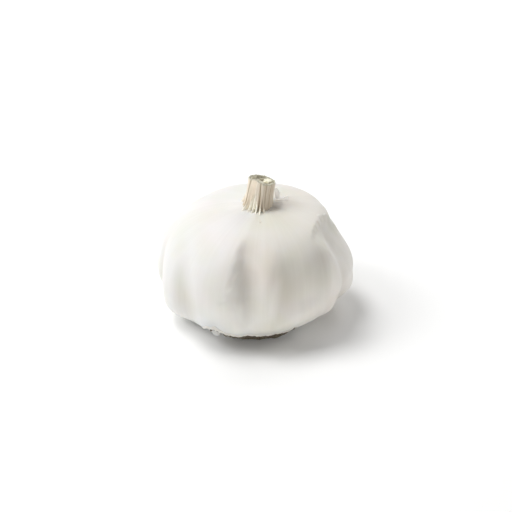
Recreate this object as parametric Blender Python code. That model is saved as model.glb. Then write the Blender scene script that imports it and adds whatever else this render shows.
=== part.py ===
"""A whole garlic bulb standing on its root plate, in metres, +Z up.

Three pieces: the bulb, whose papery skin shows the cloves that it wraps and ends below in a torn hem;
the dry neck, ribbed and cut across its rolled leaf sheaths; the root plate with its trimmed roots.
Azimuths are in degrees about +Z: 0 faces -Y, the front, and 90 faces +X. Sizes below are in millimetres.
"""

import math
import random

import bpy
import bmesh
from mathutils import Matrix, Vector

MM = 0.001
GAP = 0.3

# The bulb: a rounded body whose upper and lower halves are superellipses
BULB_RADIUS = 30.1
WIDEST_Z = 16.1
UPPER_RISE, UPPER_POWER = 19.4, 2.5
LOWER_DROP, LOWER_POWER = 16.8, 3.0
CROWN_Z = WIDEST_Z + UPPER_RISE
# What is called a height on the skin below is the share of the way from here up to the crown
SHARE_BASE_Z = -2.2
SKIN_SIDES = 120
SKIN_ROWS = 27
# The columns of the mesh turn with the valleys, by this much from the hem to the crown
COLUMN_TURN = -13.0

# The neck and the root plate stand a little off the middle, and the bulb leans from one to the other
NECK_AXIS = (2.6, -0.9)
NECK_FOOT_AXIS = (2.4, -1.7)
BASE_AXIS = (-1.3, -0.1)
LEAN_START = 0.1

# The valleys between the cloves: azimuth at mid height, depth, and turn from the hem to the crown
VALLEYS = (
    (-88.0, 2.5, -14.0),
    (-49.0, 1.6, -20.0),
    (-9.0, 3.3, -20.0),
    (16.5, 2.8, -8.0),
    (48.0, 2.0, -14.0),
    (80.0, 2.9, -6.0),
    (124.0, 2.4, -10.0),
    (160.0, 2.2, -16.0),
    (197.0, 2.6, -10.0),
    (234.0, 2.2, -14.0),
)
# How far each clove stands out, and how far it swells near its foot, from the one after the first valley
CLOVES = (
    (-0.4, 1.3),
    (0.4, 0.3),
    (-0.4, 0.0),
    (0.2, 0.0),
    (0.8, 1.0),
    (0.6, 0.9),
    (0.0, 0.6),
    (0.3, 0.4),
    (0.0, 0.8),
    (0.6, 0.5),
)
VALLEY_WIDTH_POWER = 1.9
LOBE_LOW, LOBE_HIGH = 0.03, 0.95
LOBE_PEAK_POWER, LOBE_EDGE_POWER, LOBE_SLOPE_POWER = 0.78, 1.3, 0.5
SWELL_HEIGHT, SWELL_SPAN = 0.17, 0.15

# On the right the cloves end lower, and the skin is tucked in under a crease
DIP_FROM, DIP_TO, DIP_RISE, DIP_FALL = 46.0, 168.0, 22.0, 60.0
DIP_DEPTH, DIP_START, DIP_FULL, DIP_FADE, DIP_END = 4.4, 0.42, 0.74, 0.8, 0.97
CREASE_LEFT, CREASE_RIGHT = (60.0, 0.88), (105.0, 0.745)
CREASE_SPAN, CREASE_DEPTH = 0.06, 1.1

# The torn hem of the outer skin: it is torn off further out at the front left, where its lip hangs lower
HEM_RADIUS, HEM_THICKNESS, HEM_HANG = 18.6, 0.7, 0.2
TORN_AZIMUTH, TORN_HALF_WIDTH, TORN_OUT, TORN_HANG = -15.0, 80.0, 3.7, 0.55
HEM_WAVES = ((5, 0.4, 0.4), (11, 0.3, 2.1), (19, 0.18, 4.0))
LIP_WIDTH = 0.7 * HEM_THICKNESS
# Inside the hem the inner skins make a shallow dish round the root plate
DISH_EDGE_Z, DISH_BEND_Z = 3.0, 0.3
DISH_ROWS = 6

# The neck
LAND_RADIUS = 7.5
NECK_TOP_Z = 42.7
NECK_FOOT_RADIUS, NECK_WAIST_RADIUS, NECK_RIM_RADIUS = 4.9, 4.25, 4.15
NECK_RIBS = 16
NECK_SIDES = 96
NECK_ROWS = 11
RIB_HEIGHT_FOOT, RIB_HEIGHT_RIM = 1.0, 0.18
LOW_RIB_SHARE = 0.5
CUT_SLOPE_X, CUT_SLOPE_Y = -0.21, 0.07
# Rings of the cut: share of the rim's radius, and height over the plane of the cut
CUT_RINGS = (
    (0.9, 0.0),
    (0.84, -0.7),
    (0.68, -0.75),
    (0.62, -0.1),
    (0.5, -0.15),
    (0.44, -0.7),
    (0.3, -0.2),
    (0.15, 0.1),
)

# The root plate, as radius and height from its flat foot up, and its trimmed roots
PLATE_PROFILE = ((6.4, 0.0), (7.0, 0.3), (8.2, 1.1), (9.0, 2.0), (9.0, 3.4))
PLATE_SIDES = 48
ROOTS = 46
ROOT_RADIUS, ROOT_TAPER, ROOT_LENGTH, ROOT_SIDES = 0.48, 0.75, 4.2, 6
ROOT_START_Z, LOWEST_ROOT_Z = 1.1, 0.15
# Two rows of roots take turns: the radius where a root starts, and its least and greatest slope
ROOT_ROWS = ((6.2, 0.05, 0.16), (5.4, 0.2, 0.28))
ROOT_SPREAD = 12.0
ROOT_JITTER = 0.3
ROOT_LENGTH_RANGE, ROOT_RADIUS_RANGE = (0.8, 1.15), (0.8, 1.1)
ROOT_SEED = 11


def smooth(share):
    """Eases from 0 to 1 as share goes from 0 to 1."""
    share = min(1.0, max(0.0, share))
    return share * share * (3.0 - 2.0 * share)


def polar(centre, radius, azimuth, z):
    """The point at that radius and azimuth about a centre (x, y)."""
    turn = math.radians(azimuth)
    return (centre[0] + radius * math.sin(turn), centre[1] - radius * math.cos(turn), z)


def clove_relief(azimuth, height):
    """How far the skin stands out over a clove, or in between two, at that share of the bulb's height."""
    count = len(VALLEYS)
    for index, (start, depth, turn) in enumerate(VALLEYS):
        end, next_depth, next_turn = VALLEYS[(index + 1) % count]
        low = start + turn * (height - 0.5)
        high = end + next_turn * (height - 0.5) + (360.0 if index == count - 1 else 0.0)
        along = (azimuth - low) % 360.0
        if along >= high - low:
            continue
        across = 2.0 * along / (high - low) - 1.0
        valley = (1.0 - math.cos(math.pi * abs(across) ** VALLEY_WIDTH_POWER)) / 2.0
        near_depth = depth if across < 0 else next_depth
        crest, swell = CLOVES[index]
        near_foot = smooth(1.0 - abs(height - SWELL_HEIGHT) / SWELL_SPAN)
        relief = crest * (1.0 - valley) - near_depth * valley
        return lobe_share(height) * relief + near_foot * swell * (1.0 - valley)
    return 0.0


def lobe_share(height):
    """The relief fades to nothing at the hem and at the crown."""
    share = min(1.0, max(0.0, (height - LOBE_LOW) / (LOBE_HIGH - LOBE_LOW)))
    return math.sin(math.pi * share**LOBE_PEAK_POWER) ** LOBE_EDGE_POWER if 0.0 < share < 1.0 else 0.0


def shoulder_dip(azimuth, height):
    """How far the skin is tucked in on the right, with the crease at the top of the lower cloves."""
    azimuth %= 360.0
    width = smooth((azimuth - DIP_FROM) / DIP_RISE) * smooth((DIP_TO - azimuth) / DIP_FALL)
    dip = smooth((height - DIP_START) / (DIP_FULL - DIP_START))
    dip *= 1.0 - smooth((height - DIP_FADE) / (DIP_END - DIP_FADE))
    left_azimuth, left_height = CREASE_LEFT
    right_azimuth, right_height = CREASE_RIGHT
    along = smooth((azimuth - left_azimuth) / (right_azimuth - left_azimuth))
    crease_height = left_height + (right_height - left_height) * along
    crease = along * smooth(1.0 - abs(height - crease_height) / CREASE_SPAN)
    return -width * (DIP_DEPTH * dip + CREASE_DEPTH * crease)


def skin_point(azimuth, rise):
    """A point of the outer skin. rise is the superellipse's angle, from -90 below to 90 at the crown."""
    turn = math.radians(rise)
    upper = rise >= 0.0
    power = 2.0 / (UPPER_POWER if upper else LOWER_POWER)
    radius = BULB_RADIUS * math.cos(turn) ** power
    if upper:
        z = WIDEST_Z + UPPER_RISE * math.sin(turn) ** power
    else:
        z = WIDEST_Z - LOWER_DROP * math.sin(-turn) ** power
    height = (z - SHARE_BASE_Z) / (CROWN_Z - SHARE_BASE_Z)
    radius += clove_relief(azimuth, height) * math.cos(turn) ** LOBE_SLOPE_POWER
    radius += shoulder_dip(azimuth, height)
    lean = smooth((height - LEAN_START) / (1.0 - LEAN_START))
    centre = [base + (neck - base) * lean for base, neck in zip(BASE_AXIS, NECK_AXIS)]
    return polar(centre, radius, azimuth, z)


def rise_at(radius, power):
    """The angle in degrees over the widest row, or under it, where the superellipse has that radius."""
    return math.degrees(math.acos((radius / BULB_RADIUS) ** (power / 2.0)))


def hem(azimuth):
    """The radius where the outer skin ends, and how far its lip hangs off the cloves there."""
    turn = math.radians(azimuth)
    torn = smooth(1.0 - abs((azimuth - TORN_AZIMUTH + 180.0) % 360.0 - 180.0) / TORN_HALF_WIDTH)
    ragged = sum(size * math.sin(count * turn + start) for count, size, start in HEM_WAVES)
    return HEM_RADIUS + TORN_OUT * torn + ragged, HEM_HANG + TORN_HANG * torn


def azimuths(sides):
    return [360.0 * side / sides for side in range(sides)]


def ring(centre, radius, z, sides):
    """A level circle of points."""
    return [polar(centre, radius, azimuth, z) for azimuth in azimuths(sides)]


def closed_grid(name, bottom, rings, top, material):
    """One closed object: a bottom point, rings of points up its outside, and a top point."""
    sides = len(rings[0])
    points = [bottom] + [point for row in rings for point in row] + [top]
    last = len(points) - 1
    faces = [(0, 1 + (side + 1) % sides, 1 + side) for side in range(sides)]
    for row in range(len(rings) - 1):
        low, high = 1 + row * sides, 1 + (row + 1) * sides
        for side in range(sides):
            after = (side + 1) % sides
            faces.append((low + side, low + after, high + after, high + side))
    low = 1 + (len(rings) - 1) * sides
    faces += [(low + side, low + (side + 1) % sides, last) for side in range(sides)]
    mesh = bpy.data.meshes.new(name)
    mesh.from_pydata([Vector(point) * MM for point in points], [], faces)
    mesh.materials.append(material)
    mesh.shade_smooth()
    made = bpy.data.objects.new(name, mesh)
    bpy.context.scene.collection.objects.link(made)
    return made


def plain_material(name, colour, roughness):
    material = bpy.data.materials.new(name)
    material.use_nodes = True
    shader = material.node_tree.nodes["Principled BSDF"]
    shader.inputs["Base Color"].default_value = (*colour, 1.0)
    shader.inputs["Roughness"].default_value = roughness
    shader.inputs["Metallic"].default_value = 0.0
    material.diffuse_color = (*colour, 1.0)
    return material


def inner_skin_point(azimuth, radius):
    """The point at that radius just inside the outer skin's lower half."""
    x, y, z = skin_point(azimuth, -rise_at(radius, LOWER_POWER))
    return (x, y, z + HEM_THICKNESS)


def dish_point(azimuth, hem_radius, share):
    """A point of the dish, share of the way from the seat of the root plate out to the hem."""
    edge = polar(BASE_AXIS, PLATE_PROFILE[-1][0] + GAP, azimuth, DISH_EDGE_Z)
    end = inner_skin_point(azimuth, hem_radius - HEM_THICKNESS)
    x, y = [low + (high - low) * share for low, high in zip(edge[:2], end[:2])]
    bend = 2.0 * share * (1.0 - share) * DISH_BEND_Z
    return (x, y, (1.0 - share) ** 2 * edge[2] + bend + share**2 * end[2])


def make_bulb():
    """The skin-wrapped cloves, with the seat of the root plate below and the land of the neck above."""
    highest_rise = rise_at(LAND_RADIUS, UPPER_POWER)
    plate_radius, plate_top_z = PLATE_PROFILE[-1]
    seat_z = plate_top_z + GAP
    all_azimuths = azimuths(SKIN_SIDES)
    hems = [hem(azimuth) for azimuth in all_azimuths]
    rings = [ring(BASE_AXIS, plate_radius + GAP, seat_z, SKIN_SIDES)]
    for row in range(DISH_ROWS):
        share = row / (DISH_ROWS - 1)
        rings.append([
            dish_point(azimuth, radius, share) for azimuth, (radius, _) in zip(all_azimuths, hems)
        ])
    lip_inside, lip_tip = [], []
    for azimuth, (radius, hang) in zip(all_azimuths, hems):
        x, y, z = skin_point(azimuth, -rise_at(radius, LOWER_POWER))
        lip_tip.append((x, y, z - hang))
        x, y, z = inner_skin_point(azimuth, radius - LIP_WIDTH)
        lip_inside.append((x, y, z - hang))
    rings += [lip_inside, lip_tip]
    for row in range(SKIN_ROWS):
        share = row / (SKIN_ROWS - 1)
        points = []
        for azimuth, (radius, _) in zip(all_azimuths, hems):
            lowest_rise = -rise_at(radius + HEM_THICKNESS, LOWER_POWER)
            rise = lowest_rise + (highest_rise - lowest_rise) * share
            points.append(skin_point(azimuth + COLUMN_TURN * share, rise))
        rings.append(points)
    bottom = (*BASE_AXIS, seat_z)
    top = (*NECK_AXIS, rings[-1][0][2])
    closed_grid("bulb", bottom, rings, top, plain_material("papery_skin", (0.86, 0.85, 0.8), 0.5))
    return top[2]


def rib(azimuth):
    """The neck's ribs, 1 on a rib and 0 between two. Every other one is lower."""
    turn = math.radians(azimuth)
    wave = 0.5 + 0.5 * math.cos(NECK_RIBS * turn)
    every_other = 0.5 + 0.5 * math.cos(NECK_RIBS * turn / 2.0)
    return wave * (LOW_RIB_SHARE + (1.0 - LOW_RIB_SHARE) * every_other)


def cut_height(x, y):
    """The slanting plane of the cut across the neck."""
    return NECK_TOP_Z + CUT_SLOPE_X * (x - NECK_AXIS[0]) + CUT_SLOPE_Y * (y - NECK_AXIS[1])


def make_neck(land_z):
    """The dry neck: its ribs splay at the foot, and the cut shows its sheaths as rings round a core."""
    foot_z = land_z + GAP
    rings = []
    for row in range(NECK_ROWS):
        share = row / (NECK_ROWS - 1)
        flare = (1.0 - share) ** 3
        radius = NECK_WAIST_RADIUS + (NECK_FOOT_RADIUS - NECK_WAIST_RADIUS) * flare
        radius += (NECK_RIM_RADIUS - NECK_WAIST_RADIUS) * share
        rib_height = RIB_HEIGHT_RIM + (RIB_HEIGHT_FOOT - RIB_HEIGHT_RIM) * (1.0 - share) ** 2
        centre = [low + (high - low) * share for low, high in zip(NECK_FOOT_AXIS, NECK_AXIS)]
        points = []
        for azimuth in azimuths(NECK_SIDES):
            x, y, _ = polar(centre, radius + rib_height * rib(azimuth), azimuth, 0.0)
            points.append((x, y, foot_z + (cut_height(x, y) - foot_z) * share))
        rings.append(points)
    for share, over in CUT_RINGS:
        points = []
        for azimuth in azimuths(NECK_SIDES):
            x, y, _ = polar(NECK_AXIS, share * NECK_RIM_RADIUS, azimuth, 0.0)
            points.append((x, y, cut_height(x, y) + over))
        rings.append(points)
    bottom = (*NECK_FOOT_AXIS, foot_z)
    top = (*NECK_AXIS, NECK_TOP_Z)
    closed_grid("neck", bottom, rings, top, plain_material("dry_neck", (0.62, 0.52, 0.36), 0.7))


def make_root(name, start, direction, length, radius, material):
    """One trimmed root, a slim tapered solid from its start in that direction."""
    shape = bmesh.new()
    bmesh.ops.create_cone(
        shape,
        cap_ends=True,
        segments=ROOT_SIDES,
        radius1=radius,
        radius2=radius * ROOT_TAPER,
        depth=length,
    )
    turn = direction.to_track_quat("Z", "Y").to_matrix().to_4x4()
    place = Matrix.Scale(MM, 4) @ Matrix.Translation(start + direction * length / 2.0) @ turn
    bmesh.ops.transform(shape, matrix=place, verts=shape.verts)
    mesh = bpy.data.meshes.new(name)
    shape.to_mesh(mesh)
    shape.free()
    mesh.materials.append(material)
    return bpy.data.objects.new(name, mesh)


def make_roots(material):
    """A collection of trimmed roots that splay from under the rim of the plate."""
    roots = bpy.data.collections.new("roots")
    bpy.context.scene.collection.children.link(roots)
    chance = random.Random(ROOT_SEED)
    for index in range(ROOTS):
        start_radius, least_slope, greatest_slope = ROOT_ROWS[index % len(ROOT_ROWS)]
        azimuth = 360.0 * (index + chance.uniform(-ROOT_JITTER, ROOT_JITTER)) / ROOTS
        start = Vector(polar(BASE_AXIS, start_radius, azimuth, ROOT_START_Z))
        slope = chance.uniform(least_slope, greatest_slope)
        spread = chance.uniform(-ROOT_SPREAD, ROOT_SPREAD)
        direction = Vector(polar((0.0, 0.0), 1.0, azimuth + spread, -slope)).normalized()
        length = ROOT_LENGTH * chance.uniform(*ROOT_LENGTH_RANGE)
        radius = ROOT_RADIUS * chance.uniform(*ROOT_RADIUS_RANGE)
        end_z = start.z + direction.z * length - radius
        start.z += max(0.0, LOWEST_ROOT_Z - end_z)
        roots.objects.link(make_root(f"root_{index}", start, direction, length, radius, material))
    return roots


def make_root_plate():
    """The root plate, whose flat middle is what the bulb stands on, joined with its trimmed roots."""
    material = plain_material("root_plate", (0.36, 0.25, 0.14), 0.85)
    rings = [ring(BASE_AXIS, radius, z, PLATE_SIDES) for radius, z in PLATE_PROFILE]
    top_z = PLATE_PROFILE[-1][1]
    plate = closed_grid("root_plate", (*BASE_AXIS, 0.0), rings, (*BASE_AXIS, top_z), material)
    roots = make_roots(material)
    union = plate.modifiers.new("roots", "BOOLEAN")
    union.operation = "UNION"
    union.operand_type = "COLLECTION"
    union.collection = roots
    union.solver = "EXACT"
    bpy.context.view_layer.objects.active = plate
    bpy.ops.object.modifier_apply(modifier=union.name)
    for root in list(roots.objects):
        bpy.data.objects.remove(root)
    bpy.data.collections.remove(roots)


def main():
    for old in list(bpy.data.objects):
        bpy.data.objects.remove(old)
    land_z = make_bulb()
    make_neck(land_z)
    make_root_plate()


main()
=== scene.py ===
"""A whole garlic bulb on a pale floor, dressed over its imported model.

Lengths are in millimetres and turn into metres when a mesh is made. Azimuths are in degrees about +Z:
0 faces -Y, the front, and 90 faces +X. A height on the skin is a share of the way up to the crown. A band
is (low, high, rise, fall), waves are (count round, size, start) and bumps are (azimuth, half width, height).
"""

import math
import random

import bpy
import numpy as np
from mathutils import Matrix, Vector


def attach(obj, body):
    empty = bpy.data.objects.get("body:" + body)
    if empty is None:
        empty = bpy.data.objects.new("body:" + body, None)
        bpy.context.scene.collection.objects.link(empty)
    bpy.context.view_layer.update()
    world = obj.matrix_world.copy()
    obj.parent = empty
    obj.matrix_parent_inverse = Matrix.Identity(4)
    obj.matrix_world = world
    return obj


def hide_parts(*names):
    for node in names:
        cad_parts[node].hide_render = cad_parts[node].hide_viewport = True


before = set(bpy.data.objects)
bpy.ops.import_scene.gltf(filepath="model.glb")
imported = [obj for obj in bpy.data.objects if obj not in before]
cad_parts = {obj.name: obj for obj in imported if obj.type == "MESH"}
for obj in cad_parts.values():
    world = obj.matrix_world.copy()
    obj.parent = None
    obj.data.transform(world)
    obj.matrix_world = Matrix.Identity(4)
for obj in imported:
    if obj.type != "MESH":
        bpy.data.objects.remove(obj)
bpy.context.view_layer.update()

MM = 0.001

# The bulb's outline: its upper and lower halves are superellipses
BULB_RADIUS = 30.1
WIDEST_Z = 16.1
UPPER_RISE, UPPER_POWER = 19.4, 2.5
LOWER_DROP, LOWER_POWER = 16.8, 3
CROWN_Z = WIDEST_Z + UPPER_RISE
SHARE_BASE_Z = -2.2
NECK_AXIS = (2.6, -0.9)
NECK_FOOT_AXIS = (1.2, -1.7)
BASE_AXIS = (-1.3, -0.1)
LEAN_START = 0.1

# The valleys between the cloves: azimuth at mid height, depth, turn from hem to crown, and deepest height
VALLEYS = (
    (-83.5, 1.9, -6, 0.34),
    (-49, 1.4, -20, 0.4),
    (-5.5, 2.6, -20, 0.62),
    (16.5, 2.4, 2, 0.6),
    (46.5, 2, -12, 0.66),
    (64.5, 0.45, 0, 0.2),
    (124, 2.4, -10, 0.46),
    (160, 2.2, -16, 0.44),
    (197, 2.6, -10, 0.5),
    (234, 2.2, -14, 0.46),
)
# How far each clove stands out and swells, the height of the swell, how far its crest lies right of its
# middle, as a share of its half width, and how broad it is, from the one after the first valley
CLOVES = (
    (-0.4, 1.3, 0.17, 0, 1.05),
    (0.8, 0.6, 0.24, 0.42, 1.45),
    (-0.5, 0.1, 0.17, 0.2, 1.05),
    (-1.4, 1.1, 0.36, 0, 1.05),
    (0.3, 0.6, 0.2, 0.1, 1.05),
    (0.8, 1.7, 0.27, -0.25, 1.3),
    (0, 0.6, 0.17, 0, 1.2),
    (0.3, 0.4, 0.17, 0, 1.2),
    (0, 0.8, 0.17, 0, 1.2),
    (0.6, 0.5, 0.17, 0, 1.2),
)
LOBE_LOW, LOBE_HIGH = 0.03, 0.95
LOBE_EDGE_POWER, LOBE_SLOPE_POWER = 1.3, 0.5
SWELL_SPAN = 0.16

# The crease on the left clove's right side: azimuth and height along it, the step down beyond it, how it
# wavers, and the shares of height over which it fades at its ends
CREASE = (
    (-24.5, 0.44), (-20.5, 0.56), (-18.2, 0.66), (-17.6, 0.74), (-18, 0.82), (-19.5, 0.89), (-22.5, 0.965),
)
CREASE_STEP, CREASE_RUN, CREASE_RECOVERY = 1, 2.6, 9.5
CREASE_WAVER, CREASE_WAVER_RATE = 0.4, 70
CREASE_FADE = (0.15, 0.12)

# On the right the cloves end lower, and the skin is tucked in: depth, and bands of azimuth and height
DIP_DEPTH, DIP_AZIMUTHS, DIP_HEIGHTS = 4.4, (46, 168, 22, 60), (0.42, 0.97, 0.32, 0.17)

# The fold over the tucked skin, in plan, from the front to the back: where it runs and how deep its step is
FOLD_PATH = (
    (16, -19), (16.3, -16), (16.9, -13), (17.9, -9.8), (19.2, -5.8), (20.6, -3.4), (23, -0.6),
    (26, 2.6),
)
FOLD_STEP, FOLD_RUN, FOLD_RECOVERY = 0.85, 1.9, 9
FOLD_LIP, FOLD_LIP_RUN = 0.04, 1.6
# It wavers, by rate along it, size and start, fades towards its ends, and starts at a height
FOLD_WAVER = ((61, 0.12, 0), (127, 0.08, 1))
FOLD_FADE = (0.3, 0.25)
FOLD_LOW_Z, FOLD_FULL_Z = 22, 26

# The mesh of the skin
SKIN_COLUMNS, SKIN_ROWS, LIP_ROWS, UNDER_ROWS = 360, 192, 5, 32
SKIN_TOP_RADIUS = 3.2

# Relief too fine for the solid
VEINS = 84
VEIN_HEIGHT, VEIN_HALF_WIDTH, VEIN_TURN = (0.005, 0.022), (0.5, 1.1), (-16, -8)
VEIN_START, VEIN_END, VEIN_FADE = (0, 0.3), (0.85, 1.05), (0.2, 0.15)
PLEAT_TERMS = ((17, 1, 0.3), (29, 0.8, 1.9), (43, 0.6, 4.4))
PLEAT_HEIGHT, PLEAT_START, PLEAT_FADE = 0.035, 5, 2
# The skin is drawn in at the right of the neck's foot, and the neck's shadow is painted there: place in
# plan, reach and depth
FOOT_HOLLOW = (6.1, -3.6, 2.3, 0.4)
UNDULATION = ((3, 5, 0.07, 0.4), (7, 9, 0.05, 2.2), (13, 4, 0.04, 5.1), (21, 13, 0.025, 1.3))

# The torn hem of the outer skin: at these azimuths it ends at these radii, and it is ragged
HEM_LINE = (
    (-180, 19.2), (-54, 19.2), (-44, 21.5), (-36.5, 24.6), (-31, 27.5), (-25, 28.7), (-20.5, 29.1),
    (-18.5, 28.8), (-17, 28.3), (-14.5, 28.1), (-12, 27.7), (-9, 27.1), (-6, 26.5), (-3, 27),
    (0, 27), (3.5, 26.3), (8, 26.1), (12, 25.8), (17, 25.3), (21, 25.1), (24.5, 25.4),
    (27, 26.6), (29, 28), (31, 27), (33, 24.4), (42, 20.5), (54, 19.2), (180, 19.2),
)
HEM_THICKNESS = 0.3
HEM_WAVES = ((5, 0.12, 0.4), (19, 0.1, 4), (37, 0.1, 0.9), (71, 0.08, 3.3))
# The outer skin stands off the inner one at the hem, by this gap and this far up
SLIT_GAP, SLIT_HEIGHT, SLIT_ROWS = 0.9, 1.6, 5
# At the front left the inner skin is tucked up further
TUCK_AZIMUTH, TUCK_HALF_WIDTH, TUCK_LIFT = -23, 11, 1.9
INNER_LOW_RADIUS = 15.5
UNDER_WRINKLES = ((23, 0.16, 0.5), (41, 0.1, 2.5), (67, 0.06, 1))
# The inner skin bulges round the root plate: how far, and where on its way in
DISH_BULGE, DISH_PLACE, DISH_HALF_WIDTH = 0.9, 0.8, 0.12
PLATE_SEAT_RADIUS, PLATE_SEAT_Z = 9.2, 2.6

SEED = 7


def smooth(share):
    """Eases from 0 to 1 as share goes from 0 to 1."""
    share = np.clip(share, 0, 1)
    return share * share * (3 - 2 * share)


def polar(centre, radius, azimuth, z):
    """Points at that radius and azimuth about a centre (x, y)."""
    turn = np.radians(azimuth)
    return np.stack(np.broadcast_arrays(
        centre[0] + radius * np.sin(turn), centre[1] - radius * np.cos(turn), z
    ), axis=-1)


def away_from(centre, points):
    """How far points lie from a centre (x, y), in plan."""
    return np.hypot(points[..., 0] - centre[0], points[..., 1] - centre[1])


def band(value, low, high, rise, fall):
    """Eases up from 0 at low over rise, and down to 0 at high over fall."""
    return smooth((value - low) / rise) * smooth((high - value) / fall)


def even_azimuths(count):
    """That many azimuths all the way round."""
    return np.arange(count) * 360 / count


def waves(azimuth, terms):
    """A ragged line round the bulb, as a sum of sines."""
    turn = np.radians(azimuth)
    return sum(size * np.sin(count * turn + start) for count, size, start in terms)


def angle_from(azimuth, middle):
    """Degrees from middle to azimuth, from -180 to 180."""
    return (azimuth - middle + 180) % 360 - 180


# The skin

def clove_relief(azimuth, height):
    """How far the skin stands out over a clove or in between two, and how deep in a valley it is, 0 to 1."""
    relief = np.zeros_like(azimuth)
    hollow = np.zeros_like(azimuth)
    count = len(VALLEYS)
    share = np.clip((height - LOBE_LOW) / (LOBE_HIGH - LOBE_LOW), 0, 1)
    windows = []
    for *_, deepest in VALLEYS:
        power = math.log(0.5) / math.log((deepest - LOBE_LOW) / (LOBE_HIGH - LOBE_LOW))
        windows.append(np.maximum(np.sin(np.pi * share**power), 0) ** LOBE_EDGE_POWER)
    for index, (start, depth, turn, _) in enumerate(VALLEYS):
        end, next_depth, next_turn, _ = VALLEYS[(index + 1) % count]
        low = start + turn * (height - 0.5)
        high = end + next_turn * (height - 0.5) + (360 if index == count - 1 else 0)
        along = (azimuth - low) % 360
        inside = along < high - low
        crest, swell, swell_height, lean, breadth = CLOVES[index]
        window, next_window = windows[index], windows[(index + 1) % count]
        across = np.clip(2 * along / (high - low) - 1, -1, 1) - lean
        across = np.where(across < 0, across / (1 + lean), across / (1 - lean))
        valley = (1 - np.cos(np.pi * np.abs(across) ** breadth)) / 2
        deep = np.where(across < 0, window, next_window) * valley
        near_depth = np.where(across < 0, depth, next_depth)
        swollen = swell * smooth(1 - np.abs(height - swell_height) / SWELL_SPAN)
        raised = 0.5 * crest * (window + next_window) * (1 - valley)
        outward = raised + swollen * (1 - valley) - near_depth * deep
        relief = np.where(inside, outward, relief)
        hollow = np.where(inside, deep - 0.5 * np.minimum(raised, 0), hollow)
    return relief, hollow


def shoulder_dip(azimuth, height):
    """How far the skin is tucked in on the right."""
    return -DIP_DEPTH * band(azimuth % 360, *DIP_AZIMUTHS) * band(height, *DIP_HEIGHTS)


def outline(rise):
    """Radius and height of the plain outline. rise is the superellipse's angle: 90 at the crown."""
    turn = np.radians(rise)
    upper = rise >= 0
    power = np.where(upper, 2 / UPPER_POWER, 2 / LOWER_POWER)
    reach = np.where(upper, UPPER_RISE, LOWER_DROP)
    radius = BULB_RADIUS * np.clip(np.cos(turn), 0, 1) ** power
    return radius, WIDEST_Z + reach * np.sign(turn) * np.abs(np.sin(turn)) ** power


def rise_at(radius, power):
    """The angle in degrees from the widest row at which the superellipse has that radius."""
    return np.degrees(np.arccos((radius / BULB_RADIUS) ** (power / 2)))


def skin_points(azimuth, rise):
    """Points of the outer skin without its fine relief, and how deep in a valley each lies."""
    radius, z = outline(rise)
    height = (z - SHARE_BASE_Z) / (CROWN_Z - SHARE_BASE_Z)
    relief, hollow = clove_relief(azimuth, height)
    radius = radius + relief * np.cos(np.radians(rise)) ** LOBE_SLOPE_POWER
    radius = radius + shoulder_dip(azimuth, height)
    lean = smooth((height - LEAN_START) / (1 - LEAN_START))
    centre = [base + (neck - base) * lean for base, neck in zip(BASE_AXIS, NECK_AXIS)]
    return polar(centre, radius, azimuth, z), hollow


def normals_of(points, closed=True):
    """Unit normals of a grid of points whose rows run round the bulb and go up it."""
    if closed:
        across = np.roll(points, -1, axis=1) - np.roll(points, 1, axis=1)
    else:
        across = np.gradient(points, axis=1)
    normal = np.cross(across, np.gradient(points, axis=0))
    return normal / np.maximum(np.linalg.norm(normal, axis=-1, keepdims=True), 1e-9)


def path_distance(x, y, path):
    """Distance from a path in plan, positive on its right, and the share along it."""
    nearest = np.full(x.shape, 1e9)
    signed = np.zeros(x.shape)
    share = np.zeros(x.shape)
    steps = [math.dist(start, end) for start, end in zip(path, path[1:])]
    gone = 0
    for (start, end), step in zip(zip(path, path[1:]), steps):
        dx, dy = (end[0] - start[0]) / step, (end[1] - start[1]) / step
        along = np.clip((x - start[0]) * dx + (y - start[1]) * dy, 0, step)
        away_x, away_y = x - start[0] - along * dx, y - start[1] - along * dy
        away = np.hypot(away_x, away_y)
        side = np.where(away_x * dy - away_y * dx >= 0, 1, -1)
        closer = away < nearest
        nearest = np.where(closer, away, nearest)
        signed = np.where(closer, side * away, signed)
        share = np.where(closer, (gone + along) / sum(steps), share)
        gone += step
    return signed, share


def fold_relief(points):
    """The fold along the normal, a raised lip and a drop that recovers, and how deep it is, 0 to 1, which
    also weighs the shade painted on the tucked skin.
    """
    distance, share = path_distance(points[..., 0], points[..., 1], FOLD_PATH)
    out = distance + sum(size * np.sin(rate * share + start) for rate, size, start in FOLD_WAVER)
    drop = band(out, 0, FOLD_RUN + FOLD_RECOVERY, FOLD_RUN, FOLD_RECOVERY)
    lip = np.where(out < 0, np.exp(-((out / FOLD_LIP_RUN) ** 2)), 1 - smooth(out / FOLD_RUN))
    high_enough = smooth((points[..., 2] - FOLD_LOW_Z) / (FOLD_FULL_Z - FOLD_LOW_Z))
    strength = high_enough * band(share, 0, 1, *FOLD_FADE)
    return strength * (FOLD_LIP * lip - FOLD_STEP * drop), strength * drop


def crease_relief(azimuth, height, radius):
    """The step of the crease on the left clove, along the normal."""
    places, heights = zip(*CREASE)
    middle = np.interp(height, heights, places) + CREASE_WAVER * np.sin(CREASE_WAVER_RATE * height)
    beyond = radius * np.radians(angle_from(azimuth, middle))
    step = CREASE_STEP * band(beyond, 0, CREASE_RUN + CREASE_RECOVERY, CREASE_RUN, CREASE_RECOVERY)
    return -step * band(height, heights[0], heights[-1], *CREASE_FADE)


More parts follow.
